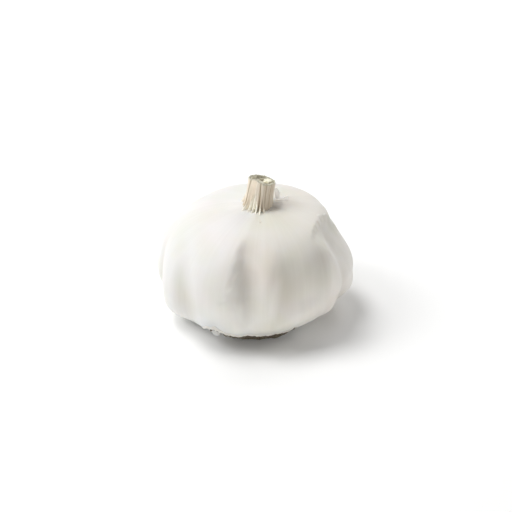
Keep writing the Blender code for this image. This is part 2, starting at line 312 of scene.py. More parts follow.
def vein_relief(azimuth, height, rng):
    """Fine ribs that run up the skin."""
    total = np.zeros(azimuth.shape)
    for index in range(VEINS):
        middle = 360 * (index + rng.uniform(-0.4, 0.4)) / VEINS
        size = rng.uniform(*VEIN_HEIGHT)
        half_width = rng.uniform(*VEIN_HALF_WIDTH)
        turn = rng.uniform(*VEIN_TURN)
        fade_in, fade_out = rng.uniform(*VEIN_START), rng.uniform(*VEIN_END)
        offset = angle_from(azimuth, middle + turn * (height - 0.5))
        present = band(height, fade_in, fade_out, *VEIN_FADE)
        total += size * present * np.exp(-((offset / half_width) ** 2))
    return total


def fine_relief(points, azimuth, rise):
    """What stands proud of the plain skin, along its normal, and a weight from 0 to 1 for the shade painted
    on the tucked skin and round the neck's foot.
    """
    radius, z = outline(rise)
    height = (z - SHARE_BASE_Z) / (CROWN_Z - SHARE_BASE_Z)
    relief = vein_relief(azimuth, height, random.Random(SEED))
    for around, up, size, start in UNDULATION:
        relief += size * np.sin(around * np.radians(azimuth) + start) * np.sin(up * height + 2 * start)
    from_neck = away_from(NECK_AXIS, points)
    on_crown = np.exp(-np.maximum(from_neck - PLEAT_START, 0) / PLEAT_FADE) * (points[..., 2] > WIDEST_Z)
    around_neck = np.degrees(np.arctan2(points[..., 0] - NECK_AXIS[0], NECK_AXIS[1] - points[..., 1]))
    relief += PLEAT_HEIGHT * on_crown * waves(around_neck, PLEAT_TERMS)
    step, tucked = fold_relief(points)
    *foot, reach, depth = FOOT_HOLLOW
    # This also paints the neck's shadow at its foot, through the shade weight
    in_hollow = np.exp(-((away_from(foot, points) / reach) ** 2)) * (points[..., 2] > WIDEST_Z)
    relief += crease_relief(azimuth, height, radius) + step - depth * in_hollow
    # The second value weighs painted shade: half the fold's depth, and the neck's painted shadow at its foot
    return relief, 0.5 * tucked + in_hollow


def hem_radius(azimuth):
    """The radius where the outer skin is torn off. It is torn off further out at the front."""
    azimuth = angle_from(azimuth, 0)
    knots, radii = zip(*HEM_LINE)
    eased = sum(np.interp(azimuth + shift, knots, radii) for shift in (-0.8, 0, 0.8)) / 3
    return eased + waves(azimuth, HEM_WAVES)


def even_rises(lowest, highest, count):
    """Rows of angles from lowest, one a column, to highest, evenly spaced along the outline."""
    fine = np.linspace(-80, 90, 4000)
    radius, z = outline(fine)
    length = np.concatenate(([0], np.cumsum(np.hypot(np.diff(radius), np.diff(z)))))
    start = np.interp(lowest, fine, length)
    end = np.interp(highest, fine, length)
    share = np.linspace(0, 1, count)[:, None]
    return np.interp(start + (end - start) * share, length, fine)


def outer_skin():
    """The grid of the outer skin from its hem to the neck, with a weight for painted shade at each point:
    how deep in a valley it lies, on the tucked skin and round the neck's foot.
    """
    azimuths = even_azimuths(SKIN_COLUMNS)
    lowest = -rise_at(hem_radius(azimuths), LOWER_POWER)
    rises = even_rises(lowest, rise_at(SKIN_TOP_RADIUS, UPPER_POWER), SKIN_ROWS)
    grid_azimuths = np.broadcast_to(azimuths, rises.shape)
    points, hollow = skin_points(grid_azimuths, rises)
    relief, tucked = fine_relief(points, grid_azimuths, rises)
    points = points + relief[..., None] * normals_of(points)
    return points, np.clip(hollow + tucked, 0, 1)


def inner_skin_points(azimuth, radius):
    """Points of the inner skin, which the outer skin covers down to its hem."""
    points, _ = skin_points(azimuth, -rise_at(np.minimum(radius, BULB_RADIUS - 0.2), LOWER_POWER))
    tuck = np.exp(-((angle_from(azimuth, TUCK_AZIMUTH) / TUCK_HALF_WIDTH) ** 2))
    points[..., 2] += SLIT_GAP + TUCK_LIFT * tuck
    return points


def under_skin(azimuths):
    """The grid from the hem in to the root plate: up the slit, along the inner skin and into its dish."""
    radius = hem_radius(azimuths)
    share = np.linspace(0, 1, SLIT_ROWS)[:, None]
    grid_azimuths = np.broadcast_to(azimuths, (SLIT_ROWS, len(azimuths)))
    slit_radius = np.minimum(radius + SLIT_HEIGHT * share * 0.8, BULB_RADIUS - 0.6)
    slit, _ = skin_points(grid_azimuths, -rise_at(slit_radius, LOWER_POWER))
    outward = polar((0, 0), 1, azimuths, 0)
    slit = slit - HEM_THICKNESS * outward
    slit[..., 2] += HEM_THICKNESS * 0.6
    share = np.linspace(0, 1, UNDER_ROWS)[:, None]
    seat = polar(BASE_AXIS, PLATE_SEAT_RADIUS, azimuths, PLATE_SEAT_Z)
    start_radius = slit_radius[-1] - HEM_THICKNESS - 0.3
    inner_radius = start_radius - (start_radius - INNER_LOW_RADIUS) * np.minimum(share / 0.6, 1)
    grid_azimuths = np.broadcast_to(azimuths, inner_radius.shape)
    skin = inner_skin_points(grid_azimuths, inner_radius)
    blend = smooth((share - 0.5) / 0.5)[..., None]
    points = skin * (1 - blend) + seat * blend
    points[..., 2] += waves(grid_azimuths, UNDER_WRINKLES) * np.sin(np.pi * share)
    points[..., 2] += DISH_BULGE * np.exp(-(((share - DISH_PLACE) / DISH_HALF_WIDTH) ** 2))
    return np.concatenate([slit, points])


# Meshes

def new_object(name, data):
    """An object with that data, in the scene."""
    thing = bpy.data.objects.new(name, data)
    bpy.context.scene.collection.objects.link(thing)
    return thing


def add_mesh(name, points, faces, material, slot, replaces=(), attributes=None):
    """A piece made from points in millimetres. attributes holds one number a point, by name."""
    mesh = bpy.data.meshes.new(name)
    mesh.from_pydata(np.asarray(points, float).reshape(-1, 3) * MM, [], faces)
    for key, values in (attributes or {}).items():
        layer = mesh.attributes.new(key, "FLOAT", "POINT")
        layer.data.foreach_set("value", np.asarray(values, np.float32).ravel())
    mesh.materials.append(material)
    mesh.shade_smooth()
    piece = new_object(name, mesh)
    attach(piece, "root")
    if replaces:
        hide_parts(*replaces)


def grid_faces(rows, columns, closed=True, first=0):
    """Quads of a grid whose rows follow each other. A closed grid joins its last column to its first."""
    faces = []
    for row in range(rows - 1):
        low = first + row * columns
        for column in range(columns if closed else columns - 1):
            after = (column + 1) % columns
            faces.append((low + column, low + after, low + columns + after, low + columns + column))
    return faces


def closed_shape(rings, bottom, top):
    """Points and faces of rings of points between a bottom point and a top one."""
    columns = rings[0].shape[0]
    points = np.concatenate([[bottom], *rings, [top]])
    faces = [(0, 1 + (column + 1) % columns, 1 + column) for column in range(columns)]
    faces += grid_faces(len(rings), columns, first=1)
    low = 1 + (len(rings) - 1) * columns
    last = len(points) - 1
    faces += [(low + column, low + (column + 1) % columns, last) for column in range(columns)]
    return points, faces


def sheet_shape(grid, thickness):
    """Points and faces of a thin closed sheet over an open grid of points."""
    rows, columns = grid.shape[:2]
    normal = normals_of(grid, closed=False)
    points = np.concatenate([
        (grid + normal * thickness / 2).reshape(-1, 3),
        (grid - normal * thickness / 2).reshape(-1, 3),
    ])
    count = rows * columns
    outside = grid_faces(rows, columns, closed=False)
    faces = outside + [tuple(count + corner for corner in reversed(face)) for face in outside]
    places = np.arange(count).reshape(rows, columns)
    rim = [*places[:, 0], *places[-1, 1:], *places[-2::-1, -1], *places[0, -2:0:-1]]
    rim = [int(place) for place in rim]
    for start, end in zip(rim, rim[1:] + rim[:1]):
        faces.append((start, end, count + end, count + start))
    return points, faces


def join_shapes(shapes):
    """Points and faces of several shapes as one."""
    points, faces, count = [], [], 0
    for shape_points, shape_faces in shapes:
        points.append(shape_points)
        faces += [tuple(count + corner for corner in face) for face in shape_faces]
        count += len(shape_points)
    return np.concatenate(points), faces


# Materials

def add_node(tree, kind, inputs=None, **settings):
    """A node with its settings, whose inputs take a number, a colour or another node's output."""
    node = tree.nodes.new(kind)
    for key, value in settings.items():
        setattr(node, key, value)
    for key, value in (inputs or {}).items():
        if isinstance(value, bpy.types.NodeSocket):
            tree.links.new(value, node.inputs[key])
        else:
            node.inputs[key].default_value = value
    return node


def new_material(name, roughness, **constants):
    """A material, its nodes and its shader, with the constants set on the shader's sockets."""
    material = bpy.data.materials.new(name)
    material.use_nodes = True
    tree = material.node_tree
    shader = tree.nodes["Principled BSDF"]
    shader.inputs["Roughness"].default_value = roughness
    for key, value in constants.items():
        shader.inputs[key.replace("_", " ")].default_value = value
    return material, tree, shader


def object_place(tree):
    """Places on the piece, in metres."""
    return add_node(tree, "ShaderNodeTexCoord").outputs["Object"]


def vector_math(tree, operation, *values):
    """What a vector node makes of one or two vectors."""
    return add_node(tree, "ShaderNodeVectorMath", dict(enumerate(values)), operation=operation).outputs[0]


def streak_vector(tree, axis, around, along):
    """Coordinates in which noise makes streaks up the bulb: around cells a radian, along cells a metre."""
    shifted = vector_math(tree, "ADD", object_place(tree), (-axis[0] * MM, -axis[1] * MM, 0))
    outward = vector_math(tree, "NORMALIZE", vector_math(tree, "MULTIPLY", shifted, (1, 1, 0)))
    spread = vector_math(tree, "MULTIPLY", outward, (around, around, 0))
    lifted = vector_math(tree, "MULTIPLY", shifted, (0, 0, along))
    return vector_math(tree, "ADD", spread, lifted)


def noise(tree, vector, scale, detail=3, roughness=0.55):
    """Noise from 0 to 1 with that many cells a unit of the vector."""
    inputs = {"Vector": vector, "Scale": scale, "Detail": detail, "Roughness": roughness}
    return add_node(tree, "ShaderNodeTexNoise", inputs).outputs["Fac"]


def mix(tree, factor, first, second, blend="MIX"):
    """Two colours mixed, each a colour or an output. factor is a number or an output."""
    inputs = {0: factor}
    for index, colour in ((6, first), (7, second)):
        inputs[index] = colour if isinstance(colour, bpy.types.NodeSocket) else (*colour, 1)
    return add_node(tree, "ShaderNodeMix", inputs, data_type="RGBA", blend_type=blend).outputs[2]


def attribute(tree, name):
    """The number that each point of the mesh holds under that name."""
    return add_node(tree, "ShaderNodeAttribute", attribute_name=name).outputs["Fac"]


def scaled(tree, value, low, high, out_low=0, out_high=1):
    """value mapped from low..high to out_low..out_high, held at the ends."""
    inputs = {"Value": value, "From Min": low, "From Max": high, "To Min": out_low, "To Max": out_high}
    return add_node(tree, "ShaderNodeMapRange", inputs).outputs["Result"]


def tone(tree, value, low, high, first, second, most=1):
    """first turns into second, by that share at most, as value goes from low to high."""
    return mix(tree, scaled(tree, value, low, high, 0, most), first, second)


def dress(tree, shader, colour, layers=()):
    """The base colour, and bump from (height output, strength, millimetres) layers, one on the other."""
    tree.links.new(colour, shader.inputs["Base Color"])
    below = {}
    for height, strength, distance in layers:
        inputs = {"Height": height, "Strength": strength, "Distance": distance * MM, **below}
        below = {"Normal": add_node(tree, "ShaderNodeBump", inputs).outputs["Normal"]}
    for key, normal in below.items():
        tree.links.new(normal, shader.inputs[key])


# The skin is whiter on the lit left, and creamier in this band of azimuths, the side in shade: that warm
# cream is painted shade
CREAM_AZIMUTHS = (-34, 190, 26, 60)
SKIN_WHITE = (0.79, 0.787, 0.769)
SKIN_CREAM_PAINTED_SHADE = (0.79, 0.772, 0.727)
# Shade is painted on the crown: the skin darkens from the first of these heights to the second
CROWN_SHADE_FROM, CROWN_SHADE_TO = 13, 29
CROWN_WHITE_PAINTED_SHADE = (0.93, 0.925, 0.93)
CROWN_CREAM_PAINTED_SHADE = (0.895, 0.882, 0.868)
STREAK_SHADE = (0.975, 0.972, 0.965)
# Painted shade, multiplied in where the skin lies deep in a valley, on the tucked skin and round the neck's
# foot
VALLEY_PAINTED_SHADE = (0.83, 0.815, 0.795)
PINK_TINT = (0.99, 0.955, 0.95)
GREEN_TINT = (0.97, 0.985, 0.94)
SKIN_ROUGHNESS = 0.5
# The skin that closes the shape over the root plate, and how much painted shade the hidden skin gets
SEAT_RADII, SEAT_LIFT, UNDER_PAINTED_SHADE_WEIGHT = (3, 8), 0.6, 0.4


def skin_material():
    """Papery skin: fine fibres up the bulb, faint tints in patches, and painted shade between the cloves, on
    the crown and, as a creamier tone, on the side away from the light.
    """
    material, tree, shader = new_material(
        "papery_skin", SKIN_ROUGHNESS, Subsurface_Weight=0.2, Subsurface_Scale=0.004,
        Subsurface_Radius=(1, 0.75, 0.5), Specular_IOR_Level=0.35, Sheen_Weight=0.15, Sheen_Roughness=0.5,
    )
    place = object_place(tree)
    fibres = noise(tree, streak_vector(tree, NECK_AXIS, 26, 45), 1, 4)
    fine_fibres = noise(tree, streak_vector(tree, NECK_AXIS, 90, 90), 1)
    crinkles = noise(tree, place, 420)
    cream = attribute(tree, "cream")
    colour = mix(tree, cream, SKIN_WHITE, SKIN_CREAM_PAINTED_SHADE)
    # Painted shade on the crown, more on the creamier side
    crown_painted_shade = mix(tree, cream, CROWN_WHITE_PAINTED_SHADE, CROWN_CREAM_PAINTED_SHADE)
    for shade, amount in (
        (crown_painted_shade, attribute(tree, "crown")),
        (STREAK_SHADE, scaled(tree, fibres, 0.35, 0.7, 1, 0)),
        (PINK_TINT, scaled(tree, noise(tree, place, 55, 1), 0.45, 0.7)),
        (GREEN_TINT, scaled(tree, noise(tree, place, 95, 1), 0.45, 0.7)),
        # painted shade in the valleys and hollows
        (VALLEY_PAINTED_SHADE, scaled(tree, attribute(tree, "hollow"), 0.35, 0.95)),
    ):
        colour = mix(tree, amount, colour, shade, "MULTIPLY")
    rough = scaled(tree, fine_fibres, 0.3, 0.7, SKIN_ROUGHNESS - 0.08, SKIN_ROUGHNESS + 0.1)
    tree.links.new(rough, shader.inputs["Roughness"])
    dress(tree, shader, colour, [(fibres, 0.12, 0.12), (fine_fibres, 0.2, 0.05), (crinkles, 0.25, 0.08)])
    return material


def make_skin():
    """The papery skin over the cloves, down to the torn hem and in under the bulb to the root plate."""
    points, hollow = outer_skin()
    azimuths = even_azimuths(SKIN_COLUMNS)
    under = under_skin(azimuths)
    lip = []
    for share in np.linspace(0, 1, LIP_ROWS + 2)[1:-1]:
        edge = under[0] * (1 - share) + points[0] * share
        edge[:, 2] -= 0.4 * HEM_THICKNESS * math.sin(math.pi * share)
        lip.append(edge)
    seat_z = PLATE_SEAT_Z + SEAT_LIFT
    seat_rings = [polar(BASE_AXIS, radius, azimuths, seat_z) for radius in SEAT_RADII]
    rings = seat_rings + list(under[::-1]) + lip + list(points)
    hidden = (len(seat_rings) + len(under) + LIP_ROWS) * SKIN_COLUMNS
    # The hidden skin underneath gets a share of the painted shade
    hollows = np.concatenate([np.full(1 + hidden, UNDER_PAINTED_SHADE_WEIGHT), hollow.ravel(), [0]])
    middle = sum(CREAM_AZIMUTHS[:2]) / 2
    # The creamier band paints the warm tone of the side in shade
    cream = band(angle_from(azimuths, middle) + middle, *CREAM_AZIMUTHS)
    creams = np.concatenate([[0.5], np.tile(cream, len(rings)), [0.5]])
    top = points[-1].mean(axis=0)
    heights = np.concatenate([[seat_z], np.array(rings)[..., 2].ravel(), [top[2]]])
    # How much of the painted crown shade each point gets
    crown = smooth((heights - CROWN_SHADE_FROM) / (CROWN_SHADE_TO - CROWN_SHADE_FROM))
    shape = closed_shape(rings, (*BASE_AXIS, seat_z), top)
    layers = {"hollow": hollows, "cream": creams, "crown": crown}
    add_mesh("bulb_skin", *shape, skin_material(), "papery_skin", ("bulb",), layers)


# The neck

NECK_TOP_AXIS = (2.4, -0.9)
NECK_TOP_Z = 43.3
NECK_WAIST_RADIUS, NECK_RIM_RADIUS, NECK_FOOT_RADIUS = 4.05, 4, 4.25
CUT_SLOPE_X, CUT_SLOPE_Y = -0.21, -0.12
NECK_COLUMNS, NECK_ROWS = 384, 56
# The grooves between the dry leaf sheaths: azimuth, half width, depth, and turn from foot to rim
NECK_GROOVES = (
    (-150, 5, 0.28, 8), (-128, 3.5, 0.16, -6), (-104, 4, 0.26, 5), (-84, 3, 0.14, -4),
    (-63, 3.5, 0.34, 10), (-1, 3, 0.36, -6), (13, 2.2, 0.12, 2), (23, 2.8, 0.26, -3),
    (35, 2.2, 0.12, 2), (46, 3.2, 0.28, 4), (63, 3.5, 0.16, -5), (84, 4, 0.26, 3),
    (101, 3.5, 0.16, -6), (123, 4.5, 0.3, 5), (147, 3.5, 0.2, -3), (170, 4, 0.26, 6),
    (190, 3.5, 0.16, -5),
)
# The splayed feet of the sheaths: azimuth, half width, and how far out over the crown
NECK_FEET = (
    (-115, 7, 1.5), (-86, 5, 0.5), (-68, 4, 0.8), (-50, 4.5, 2.2), (-34, 4.2, 2.5),
    (-20, 3.8, 2.3), (-7, 3.6, 2.5), (5, 3.2, 2.9), (19, 4, 1.6), (36, 5, 0.5),
    (54, 6, 0.2), (76, 6, 0.3), (101, 6, 0.5), (126, 6, 0.9), (151, 6, 0.7),
    (176, 7, 1.2), (203, 6, 0.9), (226, 6, 1.3),
)
NECK_SWELLS = ((4, 0.07, 0.6), (7, 0.06, 2.4), (11, 0.05, 4))
FOOT_POWER = 4.2
# Where the outer sheath is split at the front: azimuth, half width at the foot, height and depth
SPLIT_AZIMUTH, SPLIT_HALF_WIDTH, SPLIT_TOP, SPLIT_DEPTH = -22, 25, 0.54, 0.38
# The outer sheath's rim: a peak over the cut, how far it leans in there, and a notch, as bumps
RIM_PEAK, RIM_LEAN, RIM_NOTCH = ((-30, 27, 0.55),), ((-30, 27, 0.6),), ((8, 9, 0.4),)
SHEATH_THICKNESS = 0.5
HOLLOW_DEPTH = 1
# The rings over the rim and down into the hollow: height over the rim and distance in from it
RIM_RINGS = (
    (0.03, 0.12), (0.05, 0.28), (0, SHEATH_THICKNESS - 0.08), (-0.2, SHEATH_THICKNESS),
    (-0.7, SHEATH_THICKNESS + 0.02), (-HOLLOW_DEPTH, SHEATH_THICKNESS + 0.15),
)
RIM_RAGGED = ((7, 0.06, 0.5), (17, 0.05, 2), (41, 0.03, 1))
# The neck starts this deep under the crown, on a ring of this radius
SOLE_DEPTH, SOLE_RADIUS = 0.6, 3.4
# Fine ridges: how many go round and how high they are
RIDGES, RIDGE_HEIGHT = 44, 0.02
# Shade is painted on the sheaths on the right, away from the light, in this band of azimuths
NECK_SHADE_AZIMUTHS = (-6, 190, 24, 60)
NECK_CREAM = (0.86, 0.79, 0.68)
NECK_TAN = (0.72, 0.62, 0.48)
NECK_GROOVE = (0.42, 0.34, 0.22)
NECK_SPLIT = (0.88, 0.85, 0.74)
NECK_FOOT = (0.96, 0.93, 0.82)
NECK_PAINTED_SHADE = (0.8, 0.78, 0.76)
CUT_OLIVE = (0.5, 0.48, 0.38)


def crown_z(points):
    """The height of the plain crown near the neck, over points in plan."""
    return outline(rise_at(np.minimum(away_from(NECK_AXIS, points), 20), UPPER_POWER))[1]


def cut_z(points):
    """The height of the slanting cut across the neck, over points in plan."""
    x, y = points[..., 0] - NECK_TOP_AXIS[0], points[..., 1] - NECK_TOP_AXIS[1]
    return NECK_TOP_Z + CUT_SLOPE_X * x + CUT_SLOPE_Y * y


def bumps(azimuth, terms):
    """The sum of round bumps."""
    return sum(size * np.exp(-((angle_from(azimuth, middle) / half) ** 2)) for middle, half, size in terms)


def rim_height(azimuth):
    """How far the outer sheath's rim stands over the plane of the cut."""
    return bumps(azimuth, RIM_PEAK) - bumps(azimuth, RIM_NOTCH) + waves(azimuth, RIM_RAGGED)


def make_neck():
    """The outer leaf sheaths, with splayed feet on the crown, and the hollow inside their cut rim."""
    azimuths = even_azimuths(NECK_COLUMNS)
    reach = bumps(azimuths, NECK_FEET)
    lean = bumps(azimuths, RIM_LEAN)
    rings = []
    columns = {"groove": [], "foot": [], "cut": [], "inner": []}

    def add_ring(ring, **values):
        rings.append(ring)
        for name, column in columns.items():
            column.append(np.broadcast_to(values.get(name, 0), azimuths.shape))

    bottom_z = crown_z(np.array(NECK_FOOT_AXIS)) - SOLE_DEPTH
    for radius in (SOLE_RADIUS, NECK_FOOT_RADIUS + reach - 0.35):
        add_ring(polar(NECK_FOOT_AXIS, radius, azimuths, bottom_z), foot=1)
    for share in np.linspace(0, 1, NECK_ROWS):
        flare = (1 - share) ** 3
        splay = (1 - share) ** FOOT_POWER
        near_rim = smooth((share - 0.7) / 0.3)
        radius = NECK_WAIST_RADIUS + (NECK_RIM_RADIUS - NECK_WAIST_RADIUS) * share
        radius = radius + (NECK_FOOT_RADIUS - NECK_WAIST_RADIUS) * flare + reach * splay
        turned = [(middle + turn * (share - 0.5), half, depth) for middle, half, depth, turn in NECK_GROOVES]
        grooves = bumps(azimuths, turned)
        radius = radius - grooves * (1 - 0.5 * near_rim) + waves(azimuths + 12 * share, NECK_SWELLS)
        radius = radius + RIDGE_HEIGHT * np.sin(RIDGES * np.radians(azimuths) + 5 * share) - lean * near_rim
        width = SPLIT_HALF_WIDTH * np.maximum(1 - share / SPLIT_TOP, 0) ** 0.7
        in_split = smooth((width - np.abs(angle_from(azimuths, SPLIT_AZIMUTH))) / 3) * (share < SPLIT_TOP)
        radius = radius - SPLIT_DEPTH * in_split
        axis = [low + (high - low) * share for low, high in zip(NECK_FOOT_AXIS, NECK_TOP_AXIS)]
        ring = polar(axis, radius, azimuths, 0)
        low_z = crown_z(ring) - 0.05
        high_z = cut_z(ring) + rim_height(azimuths)
        ring[:, 2] = low_z + (high_z - low_z) * share
        add_ring(
            ring, groove=np.clip(grooves / 0.33, 0, 1), cut=smooth((share - 0.95) / 0.05), inner=in_split,
            foot=np.maximum(smooth((radius - 4.6) / 1.3), in_split * smooth((0.42 - share) / 0.3)),
        )
    rim_radius = away_from(NECK_TOP_AXIS, rings[-1])
    for lift, inset in RIM_RINGS:
        ring = polar(NECK_TOP_AXIS, rim_radius - inset, azimuths, 0)
        ring[:, 2] = cut_z(ring) + rim_height(azimuths) + lift
        add_ring(ring, cut=1 if lift > -0.3 else 0.75)
    bottom = (*NECK_FOOT_AXIS, bottom_z)
    top = (*NECK_TOP_AXIS, NECK_TOP_Z - HOLLOW_DEPTH - 0.1)
    layers = {name: np.concatenate([[0], *column, [0.7]]) for name, column in columns.items()}
    # The brown layer holds where shade is painted on the right side
    brown = np.tile(band(azimuths, *NECK_SHADE_AZIMUTHS), len(rings))
    layers["brown"] = np.concatenate([[0], brown, [0]])
    shape = closed_shape(rings, bottom, top)
    add_mesh("neck_sheaths", *shape, neck_material(), "dry_neck", ("neck",), layers)


def neck_material():
    """Dry leaf sheaths: tan fibres, darker grooves, pale feet, a dull olive cut, and painted shade on the
    right side.
    """
    material, tree, shader = new_material("dry_neck", 0.62, Specular_IOR_Level=0.3, Sheen_Weight=0.2)
    fibres = noise(tree, streak_vector(tree, NECK_AXIS, 9, 90), 1)
    fine_fibres = noise(tree, streak_vector(tree, NECK_AXIS, 30, 220), 1)
    grain = noise(tree, object_place(tree), 1400, 2)
    colour = tone(tree, fibres, 0.35, 0.65, NECK_TAN, NECK_CREAM)
    colour = tone(tree, fine_fibres, 0.45, 0.75, colour, NECK_TAN, 0.4)
    colour = tone(tree, attribute(tree, "groove"), 0.1, 1, colour, NECK_GROOVE, 0.85)
    colour = tone(tree, attribute(tree, "inner"), 0, 1, colour, NECK_SPLIT, 0.75)
    # painted shade on the right side
    colour = mix(tree, attribute(tree, "brown"), colour, NECK_PAINTED_SHADE, "MULTIPLY")
    colour = tone(tree, attribute(tree, "foot"), 0, 1, colour, NECK_FOOT, 0.85)
    colour = mix(tree, attribute(tree, "cut"), colour, CUT_OLIVE)
    tree.links.new(scaled(tree, fine_fibres, 0.3, 0.7, 0.55, 0.75), shader.inputs["Roughness"])
    dress(tree, shader, colour, [(fibres, 0.3, 0.2), (fine_fibres, 0.3, 0.1), (grain, 0.2, 0.05)])
    return material


# Rolled inner sheaths in the cut: start and end azimuth, start and end radius, and height of the edge
ROLLS = (
    (-150, 160, 3.25, 2.95, -0.15),
    (-40, 200, 2.5, 1.9, -0.3),
)
ROLL_HEIGHT, ROLL_THICKNESS, ROLL_COLUMNS, ROLL_ROWS = 1.1, 0.16, 72, 7
ROLL_WAVER, ROLL_RAGGED = ((9, 0.06, 1), (23, 0.03, 0)), ((5, 0.07, 2), (31, 0.04, 0))
ROLL_DARK, ROLL_LIGHT = (0.6, 0.56, 0.45), (0.8, 0.76, 0.63)
# The pale core: how far off the neck's axis, how deep, its half sizes and its folds
CORE_OFFSET, CORE_DEPTH, CORE_SIZE = (1.75, 0.25), 0.2, (1.35, 1.15, 0.5)
CORE_COLUMNS, CORE_ROWS, CORE_FOLDS = 64, 18, ((5, 0.05, 0.4), (9, 0.04, 1))
CORE_DARK, CORE_LIGHT = (0.78, 0.75, 0.58), (0.86, 0.83, 0.68)


def grain_material(name, roughness, scale, low, high, dark, light, strength, distance, **constants):
    """A grain of two tones, raised by that distance in millimetres."""
    material, tree, shader = new_material(name, roughness, **constants)
    grain = noise(tree, object_place(tree), scale)
    dress(tree, shader, tone(tree, grain, low, high, dark, light), [(grain, strength, distance)])
    return material


def make_rolls():
    """The curled edges of the inner sheaths."""
    shapes = []
    for start, end, first_radius, last_radius, edge in ROLLS:
        share = np.linspace(0, 1, ROLL_COLUMNS)
        azimuth = start + (end - start) * share
        radius = first_radius + (last_radius - first_radius) * share + waves(azimuth, ROLL_WAVER)
        rows = []
        for up in np.linspace(0, 1, ROLL_ROWS):
            row = polar(NECK_TOP_AXIS, radius + 0.08 * up, azimuth, 0)
            top = cut_z(row) + edge + waves(azimuth, ROLL_RAGGED)
            row[:, 2] = top - ROLL_HEIGHT * (1 - up)
            rows.append(row)
        shapes.append(sheet_shape(np.array(rows), ROLL_THICKNESS))
    material = grain_material(
        "cut_sheaths", 0.6, 900, 0.35, 0.65, ROLL_DARK, ROLL_LIGHT, 0.4, 0.1, Specular_IOR_Level=0.3
    )
    add_mesh("neck_inner_sheaths", *join_shapes(shapes), material, "dry_neck")


def make_core():
    """The pale core, off the neck's middle."""
    core = np.add(NECK_TOP_AXIS, CORE_OFFSET)
    core_z = cut_z(core) - CORE_DEPTH
    half_x, half_y, half_z = CORE_SIZE
    azimuths = even_azimuths(CORE_COLUMNS)
    folds = 1 + waves(azimuths, CORE_FOLDS)
    rings = []
    for turn in np.radians(np.linspace(-60, 80, CORE_ROWS)):
        x = core[0] + half_x * math.cos(turn) * folds * np.sin(np.radians(azimuths))
        y = core[1] - half_y * math.cos(turn) * folds * np.cos(np.radians(azimuths))
        rings.append(np.stack([x, y, np.full_like(x, core_z + half_z * math.sin(turn))], axis=-1))
    shape = closed_shape(rings, (*core, core_z - half_z), (*core, core_z + half_z))
    material = grain_material("neck_core", 0.5, 1500, 0.3, 0.7, CORE_DARK, CORE_LIGHT, 0.3, 0.08)
    add_mesh("neck_core", *shape, material, "dry_neck")


# Loose skin

# The shred that stands on the right of the neck and the curl that lies beyond it: middle lines and widths
SHRED_PATH = (
    (6.5, 1.5, 39.4), (6.8, 1.2, 38.9), (7, 0.8, 38.3), (7.1, 0.3, 37.7), (7.1, -0.2, 37.2),
    (7, -0.6, 36.8),
)
SHRED_WIDTHS, SHRED_ACROSS = (0.7, 1.2, 1.5, 1.6, 1.4, 0.9), (1, -0.1, 0)
CURL_PATH = (
    (6.6, 0.9, 35.7), (7.6, 1.1, 35.7), (8.6, 1.3, 35.7), (9.2, 1.4, 35.8), (9.7, 1.4, 35.95),
    (10.3, 1.4, 36.05),
)
CURL_WIDTHS = (0.9, 0.6, 0.5, 0.7, 1.3, 1.1)
CURL_ACROSS = (
    (0, 0.8, 0.6), (0, 0.8, 0.6), (0, 0.7, 0.7), (0, 0.6, 0.8), (0, 0.55, 0.85), (0, 0.55, 0.85),
)
SHRED_THICKNESS = 0.12
# Small flecks that stand off the skin: place, length along its azimuth, and width
FLECKS = (
    ((1.8, -11.9, 34.85), 0.9, 0.35),
    ((19.1, -5.2, 33.35), 0.9, 0.5),
    ((21.1, -2.9, 32.6), 0.8, 0.4),
)
# Along a fleck: share of its length and how high it stands, and shares of its width
FLECK_LIFTS = ((0, 0.12), (0.3, -0.02), (0.6, 0.1), (1, 0.3))
FLECK_WIDTHS, FLECK_THICKNESS = (1, 1, 0.9, 0.4), 0.1
FLAKE_COLOURS = ((0.97, 0.95, 0.9), (0.92, 0.88, 0.82))


def loose_skin_material(name, light, dark):
    """Thin dry scraps of skin with fine streaks."""
    material, tree, shader = new_material(
        name, 0.55, Subsurface_Weight=0.5, Subsurface_Scale=0.002, Subsurface_Radius=(1, 0.85, 0.7),
        Specular_IOR_Level=0.3,
    )
    streaks = noise(tree, streak_vector(tree, BASE_AXIS, 60, 150), 1)
    crumple = noise(tree, object_place(tree), 700)
    colour = tone(tree, streaks, 0.3, 0.7, dark, light)
    dress(tree, shader, colour, [(streaks, 0.4, 0.1), (crumple, 0.4, 0.12)])
    return material


def strip_shape(path, widths, thickness, across, steps=24, columns=7, curl=0.15):
    """A curled strip along a path. across is its sideways direction, one for all or one a point."""
    path = np.array(path)
    knots = np.linspace(0, 1, len(path))
    share = np.linspace(0, 1, steps)
    line = np.stack([np.interp(share, knots, path[:, axis]) for axis in range(3)], axis=-1)
    for _ in range(3):
        line[1:-1] = (line[:-2] + 2 * line[1:-1] + line[2:]) / 4
    width = np.interp(share, knots, widths)
    across = np.broadcast_to(across, path.shape)
    across = np.stack([np.interp(share, knots, across[:, axis]) for axis in range(3)], axis=-1)
    across = across / np.linalg.norm(across, axis=-1, keepdims=True)
    offsets = np.linspace(-0.5, 0.5, columns)
    along = np.gradient(line, axis=0)
    normal = np.cross(along, across)
    normal /= np.linalg.norm(normal, axis=-1, keepdims=True)
    grid = line[:, None, :] + offsets[None, :, None] * width[:, None, None] * across[:, None, :]
    grid = grid + (curl * width[:, None] * (2 * offsets[None, :]) ** 2)[..., None] * normal[:, None, :]
    return sheet_shape(grid, thickness)


